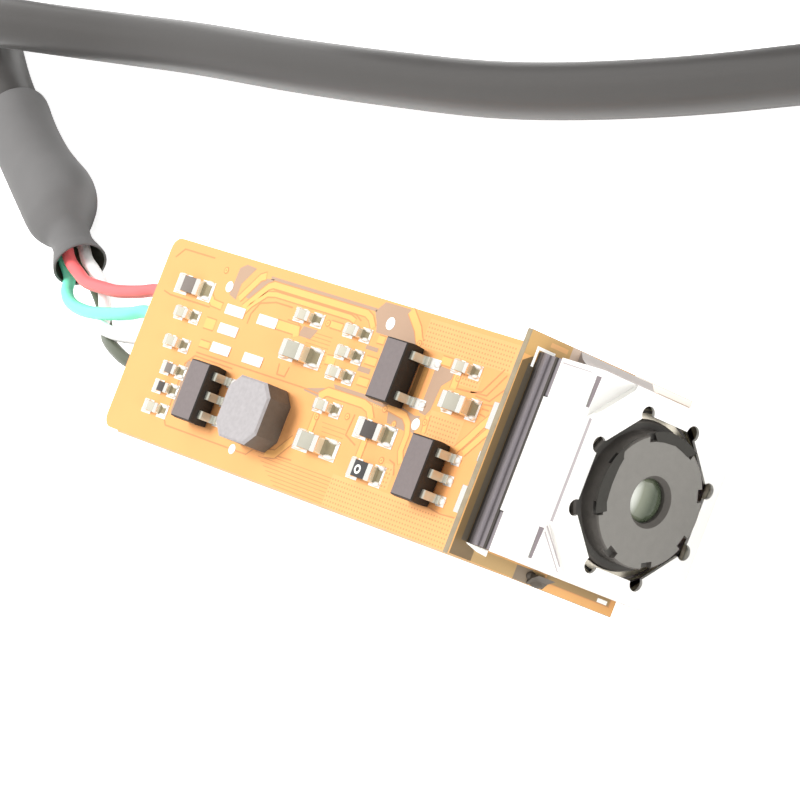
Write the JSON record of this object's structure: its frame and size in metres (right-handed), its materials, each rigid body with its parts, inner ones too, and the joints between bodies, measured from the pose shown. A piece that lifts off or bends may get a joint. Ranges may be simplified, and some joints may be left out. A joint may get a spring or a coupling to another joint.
{
  "type": "camera module",
  "caption": "Autofocus camera module: a square metal-cased lens unit stands across the end of a narrow amber circuit board, with four wires in a shrink sleeve leading to a folded USB lead",
  "frame": {"origin": "middle of the box round the module without its lead, on the surface it stands on", "axes": "+X is the way the lens looks and runs along the narrow board, +Z is the side of the board with the small parts"},
  "size_m": [0.1011, 0.0537, 0.0137],
  "materials": {
    "amber_board": "glossy",
    "clear_glue": "glossy",
    "sensor_die": "glossy",
    "black_plastic": "matte",
    "filter_glass": "glossy",
    "can_steel": "satin",
    "magnet": "satin",
    "copper_winding": "satin",
    "spring_metal": "satin",
    "barrel_black": "matte",
    "lens_glass": "glossy",
    "chip_black": "matte",
    "tinned_metal": "satin",
    "ferrite_grey": "matte",
    "ceramic_tan": "satin",
    "resistor_dark": "satin",
    "wire_red": "satin",
    "wire_green": "satin",
    "wire_white": "satin",
    "wire_black": "satin",
    "sleeve_black": "matte",
    "lead_black": "matte",
    "plug_steel": "satin",
    "tongue_white": "matte",
    "gold_contact": "glossy"
  },
  "bodies": {
    "root": {"main_board": "amber_board", "camera_board": "amber_board", "board_glue": "clear_glue", "image_sensor": "sensor_die", "sensor_holder": "black_plastic", "ir_filter": "filter_glass", "motor_base": "black_plastic", "motor_can": "can_steel", "magnets": "magnet", "front_leaf_spring": "spring_metal", "rear_leaf_spring": "spring_metal", "converter_body": "chip_black", "converter_leads": "tinned_metal", "regulator_body": "chip_black", "regulator_leads": "tinned_metal", "monitor_body": "chip_black", "monitor_leads": "tinned_metal", "inductor": "ferrite_grey", "ferrite_bead": "ferrite_grey", "diode": "chip_black", "zero_link": "chip_black", "edge_capacitors": "ceramic_tan", "bare_pads": "tinned_metal", "controller_chip": "chip_black", "memory_chip": "chip_black", "crystal": "tinned_metal", "wire_joints": "tinned_metal", "red_wire": "wire_red", "green_wire": "wire_green", "white_wire": "wire_white", "black_wire": "wire_black", "shrink_sleeve": "sleeve_black", "usb_lead": "lead_black", "lead_hank": "lead_black", "plug_lead": "lead_black", "lead_tie": "sleeve_black", "plug_grip": "lead_black", "plug_shell": "plug_steel", "plug_tongue": "tongue_white", "plug_contacts": "gold_contact", "capacitor_1": "ceramic_tan", "capacitor_2": "ceramic_tan", "capacitor_3": "ceramic_tan", "capacitor_4": "ceramic_tan", "capacitor_5": "ceramic_tan", "capacitor_6": "ceramic_tan", "capacitor_7": "ceramic_tan", "capacitor_8": "ceramic_tan", "large_capacitor_1": "ceramic_tan", "large_capacitor_2": "ceramic_tan", "large_capacitor_3": "ceramic_tan", "resistor_1": "resistor_dark", "resistor_2": "resistor_dark", "resistor_3": "resistor_dark"},
    "lens": {"lens_barrel": "barrel_black", "lens_carrier": "black_plastic", "focus_coil": "copper_winding", "front_lens": "lens_glass", "middle_lens": "lens_glass", "rear_lens": "lens_glass"}
  },
  "joints": [
    {"name": "focus", "type": "slide", "parent": "root", "child": "lens", "axis": [1, 0, 0], "range_m": [0, 0.0003], "stiffness_N_per_m": 60, "deforming": ["front_leaf_spring", "rear_leaf_spring"]}
  ]
}
